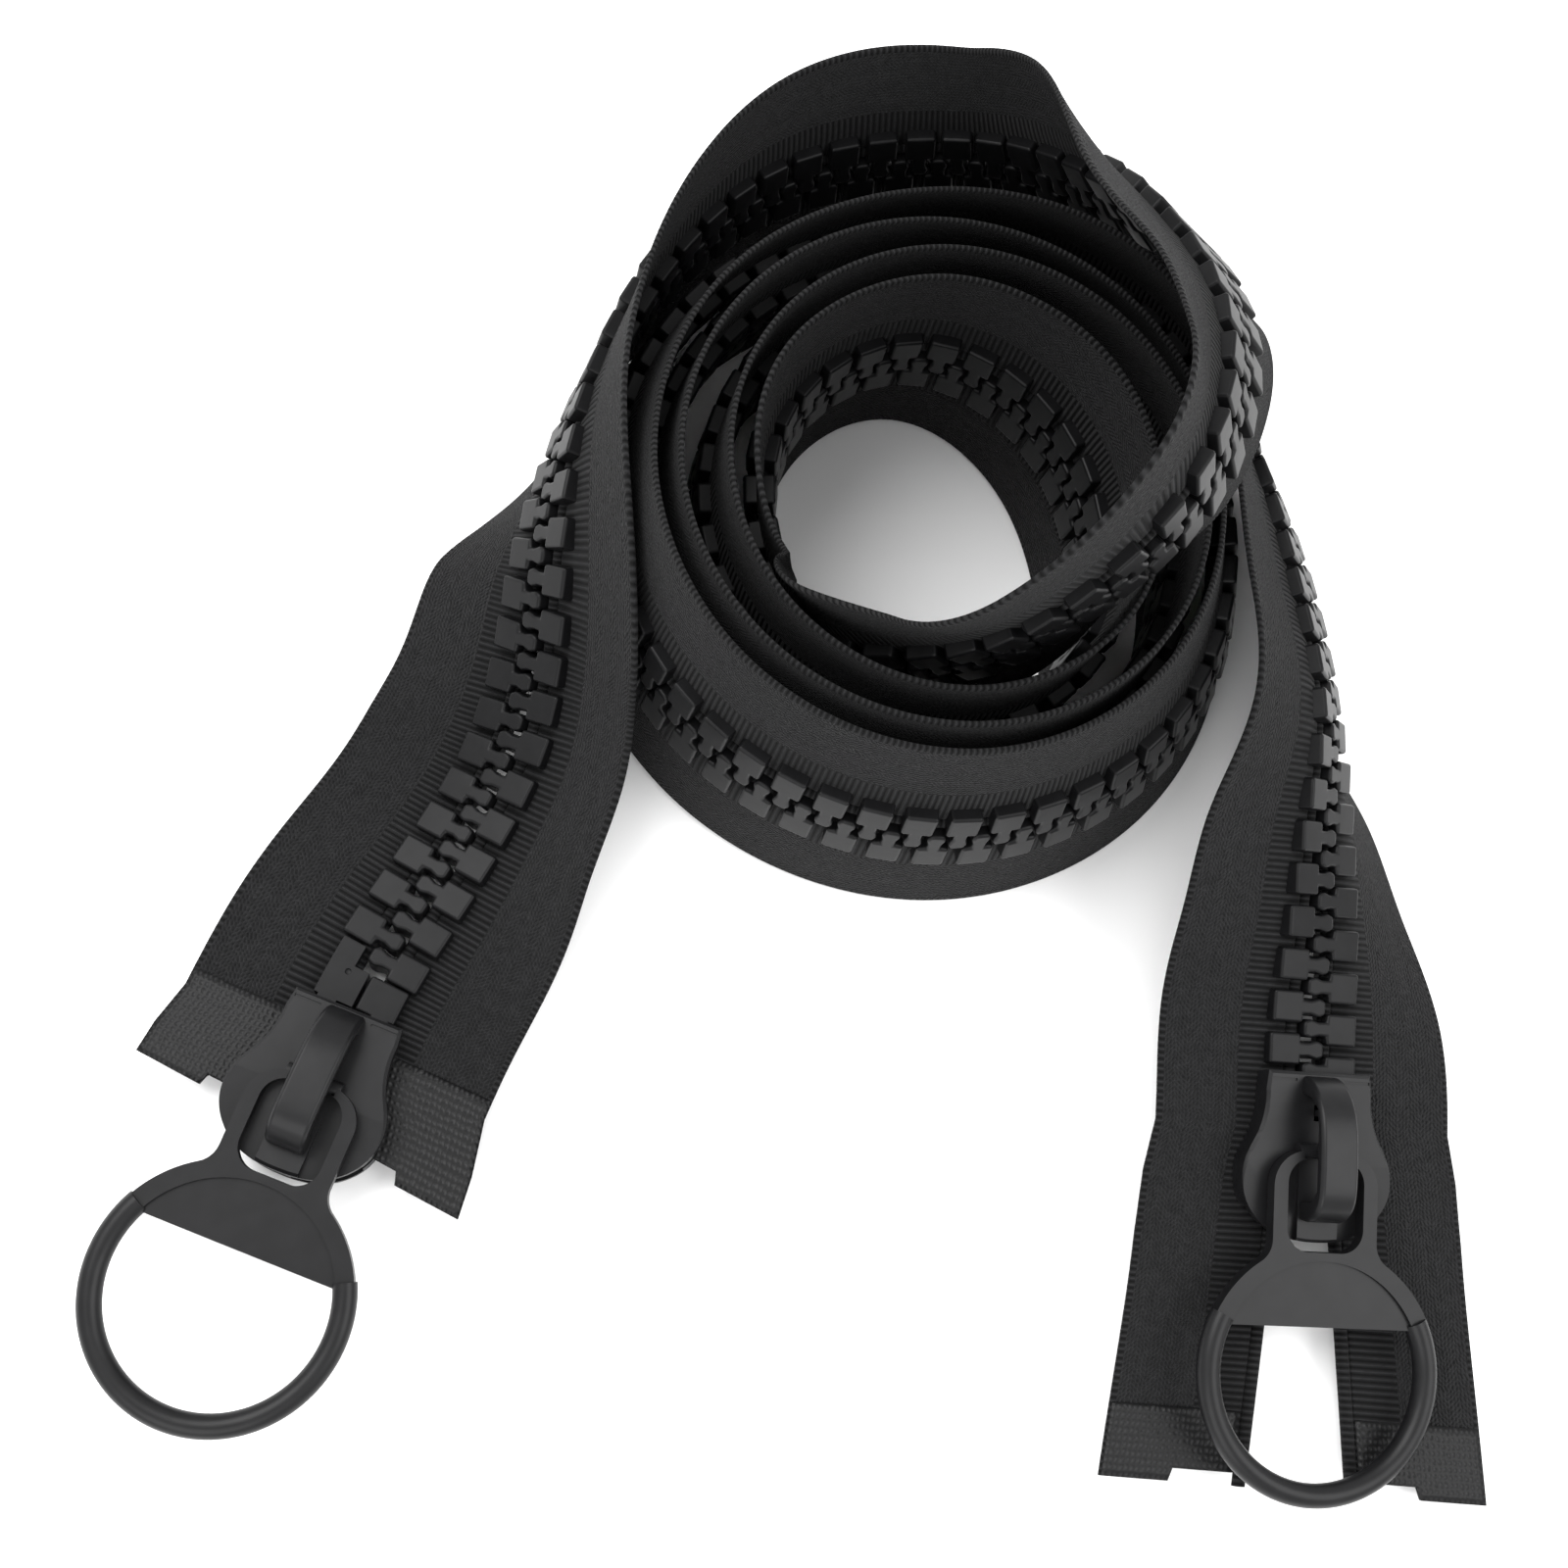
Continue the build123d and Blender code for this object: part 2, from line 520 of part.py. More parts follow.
def pull_location(slider, tilt):
    """The pull hangs on its bar, tipped towards the floor by the tilt."""
    return slider * Pos(0, BAR_AT, BAR_HEIGHT) * Rot(tilt, 0, 0)


def slider_set(name, location, pull_tilt):
    pull = pull_location(location, pull_tilt)
    return {
        name + "_slider_body": location * slider_body(),
        name + "_slider_cap": location * slider_cap(),
        name + "_lock_pawl": location * lock_pawl(),
        name + "_lock_spring": location * lock_spring(),
        name + "_pull_yoke": pull * pull_yoke(),
        name + "_pull_ring": pull * pull_ring(),
    }


PIN_PULL_TILT = 5.0
STOP_PULL_TILT = 0.0
PIN_FILM = 17.0
STOP_FILM = 11.5


def build_nodes():
    nodes = {}
    for name, side in (("upper", 1), ("lower", -1)):
        nodes[name + "_tape"] = tape(side)
        nodes[name + "_core_cord"] = core_cord(side)
        nodes[name + "_teeth"] = teeth(side)
        nodes[name + "_insertion_pin"] = insertion_pin(side)
        nodes[name + "_top_stop"] = top_stop(side)
        nodes[name + "_pin_end_film"] = end_film(side, 0, PIN_FILM)
        nodes[name + "_stop_end_film"] = end_film(side, route.length - STOP_FILM, route.length)
    nodes.update(slider_set("bottom", slider_location(PIN_SLIDER_AT, True), PIN_PULL_TILT))
    nodes.update(slider_set("top", slider_location(STOP_SLIDER_AT, False), STOP_PULL_TILT))
    return nodes


if __name__ == "__main__":
    os.makedirs("parts", exist_ok=True)
    for node_name, shape in build_nodes().items():
        export_step(shape, os.path.join("parts", node_name + ".step"))
    print("route length", round(route.length, 1))
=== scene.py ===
import json
import math

import bmesh
import bpy
import numpy as np
from mathutils import Matrix, Vector


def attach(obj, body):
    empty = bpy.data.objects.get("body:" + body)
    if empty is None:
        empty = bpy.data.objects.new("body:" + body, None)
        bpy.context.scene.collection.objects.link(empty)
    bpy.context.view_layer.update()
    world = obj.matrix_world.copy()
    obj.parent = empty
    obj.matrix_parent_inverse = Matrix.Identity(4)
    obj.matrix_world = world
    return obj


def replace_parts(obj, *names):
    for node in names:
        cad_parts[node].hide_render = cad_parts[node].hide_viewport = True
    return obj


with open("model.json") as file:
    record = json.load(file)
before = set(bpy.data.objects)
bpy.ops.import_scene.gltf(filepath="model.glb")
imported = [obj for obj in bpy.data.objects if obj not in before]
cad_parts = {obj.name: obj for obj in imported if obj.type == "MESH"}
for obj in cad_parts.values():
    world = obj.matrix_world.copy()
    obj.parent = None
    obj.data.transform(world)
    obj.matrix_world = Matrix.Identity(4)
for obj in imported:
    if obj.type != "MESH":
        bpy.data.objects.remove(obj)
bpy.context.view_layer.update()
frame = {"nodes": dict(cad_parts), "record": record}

# Looks of a black two-way zipper.  The woven tapes and their beaded edges are made here along the
# same route as the CAD model's.  Softened copies of the teeth, pins, stops, sliders and yokes replace
# those nodes, while the ring grips and the springs stay as the CAD made them.
# Millimetres in the route, metres in the scene.
MM = 0.001

TAPE_HALF = 26.0
FOLD_LINE = 8.6
CORD_RADIUS = 1.1
CORD_OFFSET = 3.0
TAPE_INNER = CORD_OFFSET + CORD_RADIUS
ORIGIN = (47.303, 92.113, 0.286)
STOP_END_BARE = 39.0
SAMPLES_PER_MM = 5
END_MARGIN = 0.5            # the route's direction is held over this last stretch at each end

ROLL_CENTRE = (70.0, 135.0)
ROLL_START_TURN = 0.625
ROLL_END_TURN = 4.125
ROLL_STEP = 0.125

# Stations of the route: x, y, z, roll of the upper half, further roll of the lower half, and the
# share of its width that the lower half keeps where it is tucked under.
PIN_END_STATIONS = [
    (-31.8, 39.8, 5.4, -92, 4, 1), (-27.6, 49.6, 5.4, -92, 4, 1), (-23.2, 59.4, 5.4, -91, 3, 1),
    (-18.3, 68.6, 5.2, -86, -4, 1), (-12.6, 77.6, 5, -74, -16, 1), (-6, 88, 5.4, -57, -31, 1),
    (1, 101, 8, -46, -38, 1), (5, 114, 13, -38, -28, 1), (7, 127, 21, -32, -16, 1),
    (9, 139, 25, -25, -3, 1), (12, 151, 26.5, -17, 3, 1), (19, 168, 26.8, -8, 0, 1),
    (31, 186, 27, 0, -2, 1), (47, 199, 27.5, 8, -10, 1), (66, 204, 29, 11, -14, 1),
    (85, 202, 33, 3, -10, 1), (99, 190, 43.5, -15, -4, 1), (107, 172, 57.5, -46, 8, 0.95),
    (110, 150, 66, -46, 14, 0.72), (105, 131, 68, -30, 6, 0.42), (96, 118, 67, -12, -4, 0.2),
    (85, 110, 57.5, 0, 0, 0.36), (73, 107, 44.5, 6, -2, 0.72), (60, 108.5, 34.8, 4, 0, 1),
]
STOP_END_STATIONS = [
    (131, 139, 25, -35, 8, 1), (134, 120, 25.5, -42, 16, 1), (135, 102, 25.5, -50, 33, 1),
    (134, 84, 21.5, -68, 30, 1), (133, 69, 18, -78, 24, 1), (131.5, 54, 14.2, -85, 9, 1),
    (130.4, 41, 11.8, -84, 0, 1), (129.3, 28, 9.6, -84, 0, 1), (128, 12, 7.1, -84, 0, 1),
    (126.4, -4, 5.3, -86, 0, 1), (124.5, -20, 4, -88, 0, 1),
]


def bump(value, middle, width):
    return math.exp(-((value - middle) / width) ** 2)


def roll_station(turn):
    """A station of the roll: a spiral on edge, a little conical and squeezed at both sides."""
    angle = 2 * math.pi * turn
    squeeze = 3.2 * math.sin(angle) ** 2 * max(0, 1 - (turn - 0.75) / 2)
    dents = 4.5 * bump(turn, 1.2, 0.14) + 2.5 * bump(turn, 3.75, 0.25)
    radius = 26 + 6.6 * turn + 0.33 * turn ** 2 - squeeze - dents
    cone = 8 * bump(turn, 0.9, 0.3) * math.sin(angle) ** 2 + 6 * bump(turn, 1.22, 0.15)
    lean = 6 - 5 * turn - 3.5 * math.cos(angle) + cone - 9 * bump(turn, 3.3, 0.2)
    height = TAPE_HALF * math.cos(math.radians(lean)) + 1.2
    x = ROLL_CENTRE[0] + radius * math.sin(angle)
    y = ROLL_CENTRE[1] + radius * math.cos(angle)
    return (x, y, height, lean, 0, 1)


def natural_spline(stations):
    """Cubic spline through the stations, as a function of the distance between them."""
    chord = np.linalg.norm(np.diff(stations[:, :3], axis=0), axis=1)
    knots = np.concatenate(([0.0], np.cumsum(chord)))
    count = len(knots)
    matrix = np.eye(count)
    right = np.zeros(stations.shape)
    for i in range(1, count - 1):
        matrix[i, i - 1:i + 2] = chord[i - 1], 2 * (chord[i - 1] + chord[i]), chord[i]
        rise_after = (stations[i + 1] - stations[i]) / chord[i]
        rise_before = (stations[i] - stations[i - 1]) / chord[i - 1]
        right[i] = 6 * (rise_after - rise_before)
    bends = np.linalg.solve(matrix, right)

    def value(at):
        i = np.clip(np.searchsorted(knots, at) - 1, 0, count - 2)
        step = chord[i][:, None]
        after = (knots[i + 1] - at)[:, None]
        before = (at - knots[i])[:, None]
        cubic = (bends[i] * after ** 3 + bends[i + 1] * before ** 3) / (6 * step)
        left = (stations[i] / step - bends[i] * step / 6) * after
        return cubic + left + (stations[i + 1] / step - bends[i + 1] * step / 6) * before

    return value, knots[-1]


def unit(vectors):
    return vectors / np.linalg.norm(vectors, axis=-1, keepdims=True)


class Route:
    """The chain's centre line by arc length, with its frames."""

    def __init__(self):
        turns = np.arange(ROLL_START_TURN, ROLL_END_TURN + ROLL_STEP / 2, ROLL_STEP)
        middle = [roll_station(turn) for turn in turns]
        stations = np.array(PIN_END_STATIONS + middle + STOP_END_STATIONS, float)
        stations[:, :3] -= ORIGIN
        value, span = natural_spline(stations)
        samples = value(np.linspace(0, span, int(span * SAMPLES_PER_MM)))
        steps = np.linalg.norm(np.diff(samples[:, :3], axis=0), axis=1)
        self.arc = np.concatenate(([0.0], np.cumsum(steps)))
        self.samples = samples
        self.length = self.arc[-1]

    def _at(self, s):
        return np.stack([np.interp(s, self.arc, column) for column in self.samples.T], axis=1)

    def frames(self, s):
        """Centres, travel, across (chain), front normals, the halves' own directions, widths kept."""
        inside = np.clip(s, END_MARGIN, self.length - END_MARGIN)
        rows = self._at(inside)
        travel = unit(self._at(inside + END_MARGIN)[:, :3] - self._at(inside - END_MARGIN)[:, :3])
        centre = rows[:, :3] + travel * (s - inside)[:, None]
        up = unit(np.array([0, 0, 1.0]) - travel * travel[:, 2:3])
        side = np.cross(up, travel)

        def across(degrees):
            radians = np.radians(degrees)[:, None]
            return np.cos(radians) * up + np.sin(radians) * side

        chain = across(rows[:, 3] + rows[:, 4] / 2)
        front = np.cross(chain, travel)
        upper = across(rows[:, 3])
        lower = across(rows[:, 3] + rows[:, 4])
        return centre, travel, chain, front, upper, lower, rows[:, 5]

    def spread(self, s):
        """How far a slider holds each tape away from the centre line near the two ends."""
        pin_end = np.interp(s, [0, 6, 14], [2.3, 1.7, 0])
        nose = self.length - STOP_END_BARE
        return pin_end + np.interp(s, [nose - 18, nose - 10, nose, self.length], [0, 1.8, 3.0, 6.5])


route = Route()


# ---- meshes ---------------------------------------------------------------------------------------
UV_PER_MM = 0.01            # the tapes' UV is the distance along and across them, in units of 100 mm


def mesh_object(name, vertices, faces, uvs=None):
    mesh = bpy.data.meshes.new(name)
    mesh.from_pydata([tuple(v) for v in vertices], [], faces)
    if uvs is not None:
        layer = mesh.uv_layers.new(name="along_across")
        corners = np.empty(len(mesh.loops), int)
        mesh.loops.foreach_get("vertex_index", corners)
        layer.data.foreach_set("uv", uvs[corners].ravel())
    mesh.shade_smooth()
    mesh.validate()
    mesh.update()
    obj = bpy.data.objects.new(name, mesh)
    bpy.context.scene.collection.objects.link(obj)
    return obj


def tube_faces(rows, ring, flip):
    """Quads of a closed tube of rings, with a strip of quads over each end."""
    faces = []
    for i in range(rows - 1):
        for j in range(ring):
            k = (j + 1) % ring
            quad = [i * ring + j, i * ring + k, (i + 1) * ring + k, (i + 1) * ring + j]
            faces.append(quad[::-1] if flip else quad)
    for start, turn in ((0, not flip), ((rows - 1) * ring, flip)):
        for j in range(ring // 2 - 1):
            quad = [start + j, start + j + 1, start + ring - 2 - j, start + ring - 1 - j]
            faces.append(quad[::-1] if turn else quad)
    return faces


# Columns across a tape: distance from the chain's centre line, and half thickness there.
TAPE_COLUMNS = [
    (TAPE_INNER, 0.30), (4.5, 0.45), (6.0, 0.48), (7.5, 0.48), (8.5, 0.48), (9.5, 0.46),
    (11.0, 0.42), (11.8, 0.36), (12.6, 0.36), (14.2, 0.36), (14.8, 0.36), (17.0, 0.36),
    (19.5, 0.36), (22.0, 0.36), (24.0, 0.38), (25.0, 0.44), (25.5, 0.46), (TAPE_HALF, 0.28),
]
FILM_HALF = 0.54            # half thickness of a tape's end with film on both faces
FILM_INNER = 4.3
FILM_OUTER = 25.7
FILM_INSET = 0.05           # the film stops this short of the cut
FILM_MIDDLE = [v for v, half in TAPE_COLUMNS[2:-2]]
FILM_COLUMNS = [(v, FILM_HALF) for v in [FILM_INNER] + FILM_MIDDLE + [FILM_OUTER]]
ROW_STEP = 1.0
FOLD_SOFT = 2.2             # the tape turns over this distance on either side of the fold line
CUT_STEP = 2.0              # the cut end is this much shorter beside the chain
CUT_STEP_REACH = 14.5       # out to this distance from the centre line
CUT_SKEW = 0.11             # slope of the cut across the tapes at the pin end
CUT_SKEW_FADE = 21.0        # distance along the tapes over which that slope fades away
PIN_FILM = 17.0
STOP_FILM = 11.5


def woven_strip(name, side, start, end, columns):
    """A stretch of one tape as a closed cloth of real thickness, bending softly beside the chain."""
    s = np.linspace(start, end, int((end - start) / ROW_STEP))
    centre, travel, chain, front, upper, lower, keep = route.frames(s)
    half = upper if side > 0 else lower
    centre = centre + side * route.spread(s)[:, None] * chain
    keep = keep[:, None] if side < 0 else np.ones((len(s), 1))
    columns = np.array(columns)
    first = columns[0, 0]
    position = centre + side * first * chain
    outline_low = []
    outline_high = []
    last = first
    for v, thickness in columns:
        middle = (v + last) / 2
        share = np.clip((middle - FOLD_LINE) / (2 * FOLD_SOFT) + 0.5, 0, 1)
        direction = unit(chain * (1 - share) + half * share)
        stretch = keep if middle > FOLD_LINE else 1.0
        position = position + side * direction * (v - last) * stretch
        last = v
        fade = np.clip(1 - s / CUT_SKEW_FADE, 0, 1)[:, None]
        place = position - side * CUT_SKEW * v * fade * travel
        normal = unit(np.cross(direction, travel))
        if v < CUT_STEP_REACH:
            inside = np.clip(s, CUT_STEP, route.length - CUT_STEP)
            place = place + travel * (inside - s)[:, None]
        outline_low.append(place - normal * thickness)
        outline_high.append(place + normal * thickness)
    vertices = np.stack(outline_low + outline_high[::-1], axis=1).reshape(-1, 3) * MM
    across = np.concatenate((columns[:, 0], columns[::-1, 0]))
    uvs = np.stack((np.repeat(s, len(across)), np.tile(across, len(s))), axis=1) * UV_PER_MM
    return mesh_object(name, vertices, tube_faces(len(s), len(across), side < 0), uvs)


BEAD_SIDES = 10
BEAD_ACROSS = 5             # mm of weave pattern round the bead


def beaded_edge(name, side):
    """The ribbed bead along a tape's toothed edge, round the core cord."""
    s = np.linspace(0, route.length, int(route.length / ROW_STEP))
    centre, travel, chain, front = route.frames(s)[:4]
    middle = centre + side * (CORD_OFFSET + route.spread(s))[:, None] * chain
    ring = []
    for i in range(BEAD_SIDES):
        angle = 2 * math.pi * i / BEAD_SIDES
        ring.append(middle + CORD_RADIUS * (math.cos(angle) * side * chain + math.sin(angle) * front))
    vertices = np.stack(ring, axis=1).reshape(-1, 3) * MM
    around = np.arange(BEAD_SIDES) / BEAD_SIDES * BEAD_ACROSS
    uvs = np.stack((np.repeat(s, BEAD_SIDES), np.tile(around, len(s))), axis=1) * UV_PER_MM
    return mesh_object(name, vertices, tube_faces(len(s), BEAD_SIDES, side > 0), uvs)


# ---- materials ------------------------------------------------------------------------------------
class Shader:
    """A principled material with a few helpers for its node tree."""

    def __init__(self, name, colour, roughness):
        self.material = bpy.data.materials.new(name)
        self.material.use_nodes = True
        self.tree = self.material.node_tree
        self.surface = self.tree.nodes["Principled BSDF"]
        self.surface.inputs["Base Color"].default_value = (*colour, 1)
        self.surface.inputs["Roughness"].default_value = roughness

    def link(self, source, target):
        self.tree.links.new(source, target)

    def math(self, operation, first, second=None):
        node = self.tree.nodes.new("ShaderNodeMath")
        node.operation = operation
        for socket, value in zip(node.inputs, (first, second)):
            if isinstance(value, (int, float)):
                socket.default_value = value
            elif value is not None:
                self.link(value, socket)
        return node.outputs[0]

    def noise(self, scale, detail=3.0):
        coordinates = self.tree.nodes.new("ShaderNodeTexCoord")
        node = self.tree.nodes.new("ShaderNodeTexNoise")
        node.inputs["Scale"].default_value = scale
        node.inputs["Detail"].default_value = detail
        self.link(coordinates.outputs["Object"], node.inputs["Vector"])
        return node.outputs["Fac"]

    def ramp(self, value, low, high):
        """Base colour between two greys."""
        node = self.tree.nodes.new("ShaderNodeValToRGB")
        node.color_ramp.elements[0].color = (*low, 1)
        node.color_ramp.elements[1].color = (*high, 1)
        self.link(value, node.inputs["Fac"])
        self.link(node.outputs["Color"], self.surface.inputs["Base Color"])

    def bump(self, height, distance, strength=1.0):
        node = self.tree.nodes.new("ShaderNodeBump")
        node.inputs["Distance"].default_value = distance
        node.inputs["Strength"].default_value = strength
        self.link(height, node.inputs["Height"])
        self.link(node.outputs["Normal"], self.surface.inputs["Normal"])

    def wave(self, value, cycles):
        """0 to 1 and back, this many times per unit of the value."""
        turned = self.math("MULTIPLY", value, cycles * 2 * math.pi)
        halved = self.math("MULTIPLY", self.math("SINE", turned), 0.5)
        return self.math("ADD", halved, 0.5)


RIB_PITCH = 1.05            # mm, ribs beside the teeth
TWILL_PITCH = 0.8           # mm, diagonal lines of the plain part
YARN_PITCH = 0.62           # mm, yarns across the plain part
ZIGZAG = 2.1                # mm, width of one herringbone stripe
RIB_ZONE = 12.2             # mm from the centre line, outer end of the ribs
EDGE_ZONE = 25.1            # mm from the centre line, inner edge of the selvedge loops
WANDER = 0.9                # mm, how far the yarns stray
WANDER_GRAIN = 700.0        # noise scales, per metre
PEBBLE_GRAIN = 650.0
FUZZ_GRAIN = 1100.0
WOVEN_SHARE = 0.3           # of the height, from each of the diagonal lines and the yarns
PEBBLE_SHARE = 0.6
FILM_ROW_PITCH = 1.15       # mm, dotted rows under the film
FILM_DOT_PITCH = 0.9


def along_and_across(shader):
    """Distances along and across a tape, in mm, gently disturbed as hand-laid yarns are."""
    uv = shader.tree.nodes.new("ShaderNodeUVMap")
    uv.uv_map = "along_across"
    split = shader.tree.nodes.new("ShaderNodeSeparateXYZ")
    shader.link(uv.outputs["UV"], split.inputs[0])
    along = shader.math("MULTIPLY", split.outputs[0], 1 / UV_PER_MM)
    across = shader.math("MULTIPLY", split.outputs[1], 1 / UV_PER_MM)
    stray = shader.math("SUBTRACT", shader.noise(WANDER_GRAIN), 0.5)
    wander = shader.math("MULTIPLY", stray, WANDER)
    return along, across, shader.math("ADD", along, wander), shader.math("ADD", across, wander)


def weave_material():
    """Ribs across the tape beside the teeth, a pebbly herringbone over the rest, loops on the edge."""
    shader = Shader("woven_black", (0.010, 0.010, 0.011), 0.88)
    along, across, loose_along, loose_across = along_and_across(shader)
    ribs = shader.wave(along, 1 / RIB_PITCH)
    diagonal = shader.math("ADD", loose_along, shader.math("PINGPONG", across, ZIGZAG))
    twill = shader.wave(diagonal, 1 / TWILL_PITCH)
    yarns = shader.wave(loose_across, 1 / YARN_PITCH)
    pebbles = shader.noise(PEBBLE_GRAIN, 2.0)
    woven = shader.math("MULTIPLY", shader.math("ADD", twill, yarns), WOVEN_SHARE)
    cloth = shader.math("ADD", woven, shader.math("MULTIPLY", pebbles, PEBBLE_SHARE))
    ribbed = shader.math("MAXIMUM", shader.math("LESS_THAN", across, RIB_ZONE),
                         shader.math("GREATER_THAN", across, EDGE_ZONE))
    plain = shader.math("SUBTRACT", 1.0, ribbed)
    rib_height = shader.math("MULTIPLY", ribs, ribbed)
    height = shader.math("ADD", rib_height, shader.math("MULTIPLY", cloth, plain))
    fuzz = shader.noise(FUZZ_GRAIN)
    # Painted shade: the colour follows the weave's height, darker in the grooves and lighter on the
    # raised ribs and yarns, with a random tone from the fuzz noise.
    painted_shade_and_fuzz = shader.math("MULTIPLY", height, shader.math("ADD", fuzz, 0.5))
    shader.ramp(painted_shade_and_fuzz, (0.0008, 0.0008, 0.0009), (0.0150, 0.0150, 0.0157))
    shader.bump(height, 0.0006, 1.0)
    shader.surface.inputs["Sheen Weight"].default_value = 0.02
    shader.surface.inputs["Sheen Roughness"].default_value = 0.5
    shader.surface.inputs["Specular IOR Level"].default_value = 0.14
    return shader.material


def film_material():
    """The weave seen through a thin bonded film: dotted rows and a low gloss."""
    shader = Shader("film_black", (0.010, 0.010, 0.011), 0.45)
    along, across, loose_along, loose_across = along_and_across(shader)
    rows = shader.wave(loose_along, 1 / FILM_ROW_PITCH)
    dots = shader.wave(loose_across, 1 / FILM_DOT_PITCH)
    height = shader.math("MULTIPLY", rows, dots)
    # Painted shade: the colour follows the dotted height, lighter on the dots and darker between them.
    shader.ramp(height, (0.0022, 0.0022, 0.0024), (0.0110, 0.0110, 0.0116))
    shader.bump(height, 0.00018, 0.6)
    shader.surface.inputs["Specular IOR Level"].default_value = 0.2
    return shader.material


LIGHTER = 1.7               # the skin's speckle, against its colour
DARKER = 0.6


def satin_material(name, colour, roughness, shine, grain, depth):
    """Smooth black with a fine uneven skin."""
    shader = Shader(name, colour, roughness)
    shader.surface.inputs["Specular IOR Level"].default_value = shine
    speckle = shader.noise(grain, 4.0)
    lighter = tuple(LIGHTER * c for c in colour)
    darker = tuple(DARKER * c for c in colour)
    shader.ramp(speckle, darker, lighter)
    shader.bump(speckle, depth, 0.6)
    return shader.material


def set_material(obj, material):
    obj.data.materials.clear()
    obj.data.materials.append(material)


SHARP = math.radians(32)    # edges at least this sharp are rounded
FLAT = math.radians(1)      # faces nearer than this to one plane are joined
WELD = 1e-6
EDGE_SEGMENTS = 3


def softened(node, width):
    """The CAD node's own shape with its sharp edges rounded, as casting and moulding leave them."""
    shape = bmesh.new()
    shape.from_mesh(node.data)
    bmesh.ops.remove_doubles(shape, verts=shape.verts, dist=WELD)
    bmesh.ops.dissolve_limit(shape, angle_limit=FLAT, verts=shape.verts, edges=shape.edges)
    sharp = [edge for edge in shape.edges if edge.calc_face_angle(0.0) > SHARP]
    bmesh.ops.bevel(shape, geom=sharp, offset=width * MM, segments=EDGE_SEGMENTS, profile=0.5,
                    affect="EDGES", clamp_overlap=True)
    mesh = bpy.data.meshes.new(node.name + "_finish")
    shape.to_mesh(mesh)
    shape.free()
    if "custom_normal" in mesh.attributes:
        mesh.attributes.remove(mesh.attributes["custom_normal"])
    mesh.shade_smooth()
    piece = bpy.data.objects.new(node.name + "_finish", mesh)
    bpy.context.scene.collection.objects.link(piece)
    normals = piece.modifiers.new("flat_faces", "WEIGHTED_NORMAL")
    normals.weight = 100
    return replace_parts(piece, node.name)


# ---- the object -----------------------------------------------------------------------------------
weave = weave_material()
film = film_material()
plastic = satin_material("moulded_black", (0.0036, 0.0036, 0.0039), 0.40, 0.14, 420.0, 0.00004)
paint = satin_material("painted_black", (0.0052, 0.0052, 0.0056), 0.38, 0.19, 260.0, 0.00005)
steel = satin_material("spring_steel", (0.30, 0.30, 0.31), 0.35, 0.5, 300.0, 0.00002)

for half, side in (("upper", 1), ("lower", -1)):
    tape = woven_strip(half + "_woven_tape", side, 0, route.length, TAPE_COLUMNS)
    bead = beaded_edge(half + "_beaded_edge", side)
    pin_film = woven_strip(half + "_pin_end_finish", side, FILM_INSET, PIN_FILM, FILM_COLUMNS)
    stop_film = woven_strip(half + "_stop_end_finish", side, route.length - STOP_FILM,
                            route.length - FILM_INSET, FILM_COLUMNS)
    dressing = (
        (tape, weave, "_tape", "woven_tape"),
        (bead, weave, "_core_cord", "core_cord"),
        (pin_film, film, "_pin_end_film", "end_film"),
        (stop_film, film, "_stop_end_film", "end_film"),
    )
    for piece, material, node_ending, slot in dressing:
        set_material(piece, material)
        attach(piece, "chain")
        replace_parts(piece, half + node_ending)

# What each kind of hard piece is made of, its slot in the record, and the radius of its edges in mm.
HARD_PIECES = {
    "teeth": (plastic, "moulded_teeth", 0.55),
    "insertion_pin": (plastic, "moulded_teeth", 0.4),
    "top_stop": (plastic, "moulded_teeth", 0.5),
    "slider_body": (paint, "slider_metal", 0.3),
    "slider_cap": (paint, "slider_metal", 0.8),
    "lock_pawl": (paint, "slider_metal", 0.1),
    "pull_yoke": (paint, "pull_metal", 0.6),
}
BODY_OF = {}
for body, members in frame["record"]["behaviour"]["bodies"].items():
    for member in members:
        BODY_OF[member] = body
for name, node in frame["nodes"].items():
    for ending, (material, slot, radius) in HARD_PIECES.items():
        if name.endswith(ending):
            piece = softened(node, radius)
            set_material(piece, material)
            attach(piece, BODY_OF[name])
    if name.endswith("spring"):
        set_material(node, steel)
    if name.endswith("pull_ring"):
        set_material(node, paint)


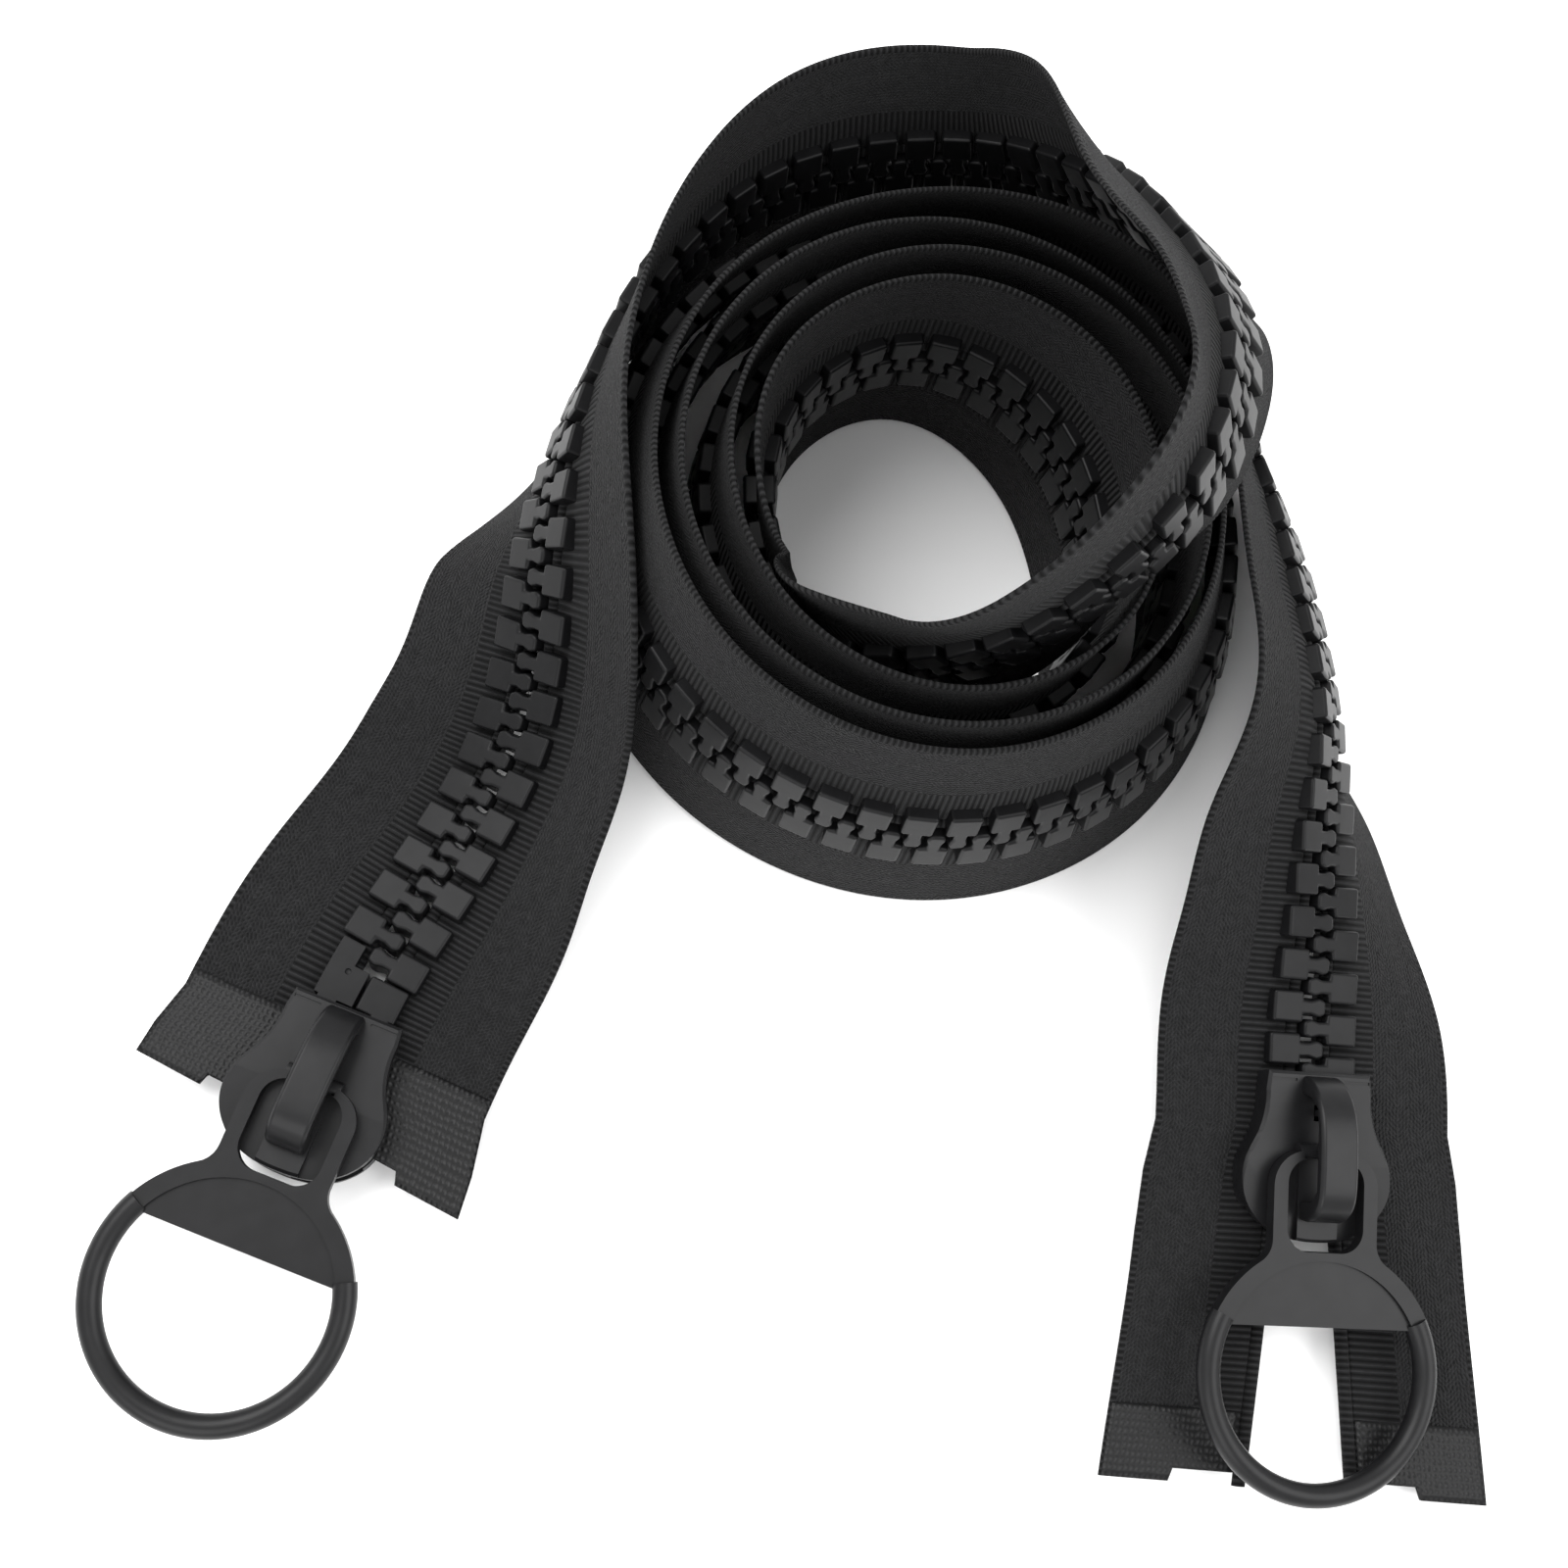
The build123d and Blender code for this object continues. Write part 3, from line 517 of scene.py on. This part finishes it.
# ---- floor, light and camera ----------------------------------------------------------------------
def floor():
    size = 3.0
    corners = [(-size, -size, 0), (size, -size, 0), (size, size, 0), (-size, size, 0)]
    plane = mesh_object("floor", corners, [[0, 1, 2, 3]])
    pale = Shader("pale_floor", (0.92, 0.92, 0.92), 0.7)
    set_material(plane, pale.material)


def soft_light(name, place, size, power):
    data = bpy.data.lights.new(name, "AREA")
    data.shape = "DISK"
    data.size = size
    data.energy = power
    light = bpy.data.objects.new(name, data)
    light.location = place
    aim = Vector((0, 0, 0.02)) - Vector(place)
    light.rotation_euler = aim.to_track_quat("-Z", "Y").to_euler()
    bpy.context.scene.collection.objects.link(light)


CAMERA_HEIGHT = 325.0       # mm above the floor, over the route's zero point
CAMERA_DOWN = (-0.14138, -0.30591, -1.0)    # direction straight down, as the camera sees it
CAMERA_LENS = 45.675
SENSOR_WIDTH = 36.0


def photo_camera():
    """Close above the near left of the roll, looking down and away, so that the tops lean outward."""
    down = Vector(CAMERA_DOWN).normalized()
    world_z = -down
    world_y = Vector((0, 1, 0))
    world_y = (world_y - world_y.dot(world_z) * world_z).normalized()
    world_x = world_y.cross(world_z)
    rotation = Matrix((world_x, world_y, world_z))
    data = bpy.data.cameras.new("photo_camera")
    data.sensor_width = SENSOR_WIDTH
    data.lens = CAMERA_LENS
    data.clip_start = 0.01
    camera = bpy.data.objects.new("photo_camera", data)
    place = Vector((-ORIGIN[0], -ORIGIN[1], CAMERA_HEIGHT - ORIGIN[2])) * MM
    camera.matrix_world = Matrix.Translation(place) @ rotation.to_4x4()
    bpy.context.scene.collection.objects.link(camera)
    bpy.context.scene.camera = camera


floor()
soft_light("key", (-0.45, 0.35, 0.9), 0.8, 11.0)
soft_light("fill", (0.75, -0.25, 0.9), 0.9, 9.0)
soft_light("front", (-0.4, -0.8, 0.7), 0.8, 6.0)
world = bpy.data.worlds.new("studio")
world.use_nodes = True
world.node_tree.nodes["Background"].inputs[0].default_value = (1, 1, 1, 1)
world.node_tree.nodes["Background"].inputs[1].default_value = 1.2
bpy.context.scene.world = world
photo_camera()
bpy.context.scene.view_settings.view_transform = "Standard"
